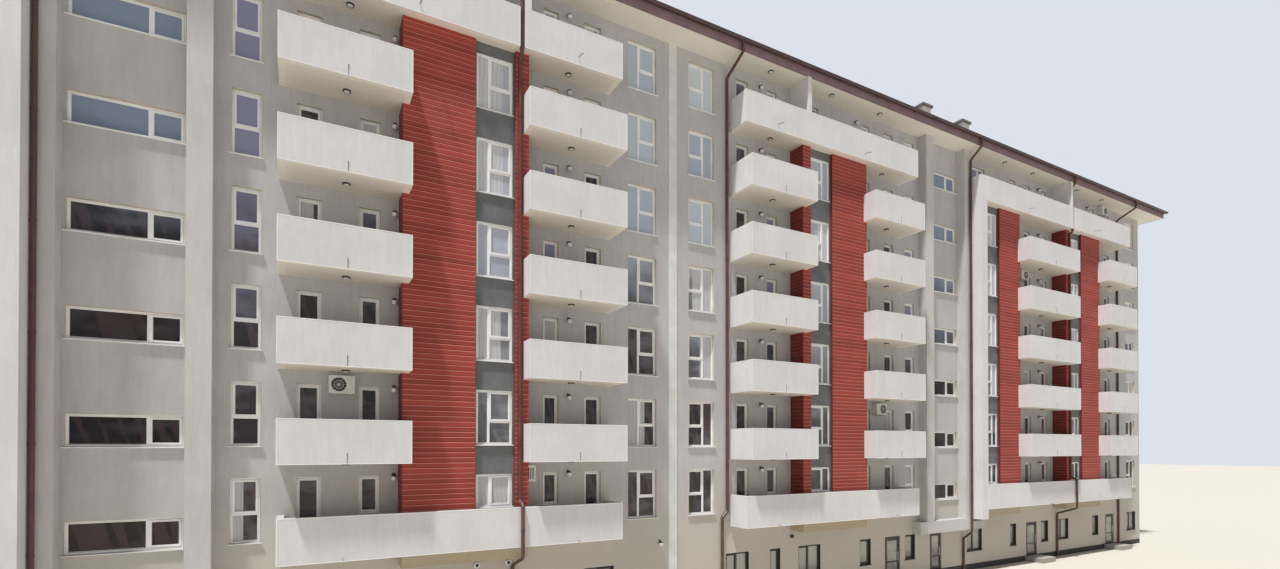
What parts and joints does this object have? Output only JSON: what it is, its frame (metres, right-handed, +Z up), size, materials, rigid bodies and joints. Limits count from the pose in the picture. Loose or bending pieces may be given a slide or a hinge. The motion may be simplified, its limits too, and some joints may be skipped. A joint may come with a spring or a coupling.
{
  "type": "apartment block, 1:2 scale model",
  "caption": "Hollow apartment block with grey plaster walls, red clad bays, white parapet balconies, a low hipped roof and hinged street doors, as a 1:2 scale model.",
  "frame": {"origin": "on the ground under the expansion joint, half way between the front and the rear", "axes": "+X along the front towards the right half, +Y from the front to the rear, +Z up"},
  "size_m": [39.994, 8.984, 12.973],
  "materials": {
    "plinth_dark": "matt",
    "floor_concrete": "matt",
    "soffit_cream": "matt",
    "plaster_grey": "matt",
    "plaster_light": "matt",
    "cover_pale": "satin",
    "frame_white": "matt",
    "board_red": "satin",
    "cheek_red": "satin",
    "spandrel_grey": "satin",
    "parapet_white": "matt",
    "balcony_cream": "matt",
    "glass_clear": "gloss",
    "fascia_mauve": "satin",
    "gutter_dark": "satin",
    "roof_brown": "matt",
    "chimney_cream": "matt",
    "cap_dark": "satin",
    "pipe_brown": "satin",
    "unit_white": "satin",
    "landing_grey": "matt",
    "door_dark": "satin",
    "leaf_glazed": "satin"
  },
  "bodies": {
    "building": {"plinth": "plinth_dark", "floor_slabs": "floor_concrete", "bay_floors": "floor_concrete", "bay_bases": "soffit_cream", "roof_slab": "soffit_cream", "grey_walls": "plaster_grey", "top_walls": "plaster_grey", "stair_walls": "plaster_light", "gable_walls": "plaster_grey", "ground_walls": "plaster_grey", "door_lintels": "plaster_grey", "joint_covers": "cover_pale", "pilasters": "plaster_light", "white_frames": "frame_white", "entrance_canopies": "plaster_light", "red_walls": "board_red", "bay_strips": "spandrel_grey", "bay_cheeks": "cheek_red", "balcony_slabs": "balcony_cream", "parapet_fronts": "parapet_white", "long_ledges": "balcony_cream", "parapet_returns": "parapet_white", "balcony_dividers": "parapet_white", "room_panes": "glass_clear", "balcony_door_panes": "glass_clear", "bay_panes": "glass_clear", "stair_panes": "glass_clear", "ground_panes": "glass_clear", "long_fascias": "fascia_mauve", "end_fascias": "fascia_mauve", "long_gutters": "gutter_dark", "end_gutters": "gutter_dark", "roof": "roof_brown", "chimneys": "chimney_cream", "chimney_caps": "cap_dark", "downpipes": "pipe_brown", "pipe_bends": "pipe_brown", "air_conditioners": "unit_white", "landings": "landing_grey", "door_frames": "door_dark", "fixed_doors": "leaf_glazed"},
    "shop_door_leaf": {"shop_door": "leaf_glazed"},
    "stair_door_leaf": {"stair_door": "leaf_glazed"},
    "wing_door_leaf": {"wing_door": "leaf_glazed"},
    "end_door_leaf": {"end_door": "leaf_glazed"}
  },
  "joints": [
    {"name": "shop_door_hinge", "type": "hinge", "parent": "building", "child": "shop_door_leaf", "pos_m": [6.22, -3.726, 0.16], "axis": [0, 0, -1], "range_deg": [0, 90]},
    {"name": "stair_door_hinge", "type": "hinge", "parent": "building", "child": "stair_door_leaf", "pos_m": [7.946, -3.726, 0.16], "axis": [0, 0, -1], "range_deg": [0, 90]},
    {"name": "wing_door_hinge", "type": "hinge", "parent": "building", "child": "wing_door_leaf", "pos_m": [12.367, -3.726, 0.16], "axis": [0, 0, -1], "range_deg": [0, 90]},
    {"name": "end_door_hinge", "type": "hinge", "parent": "building", "child": "end_door_leaf", "pos_m": [17.008, -3.726, 0.16], "axis": [0, 0, -1], "range_deg": [0, 90]}
  ]
}
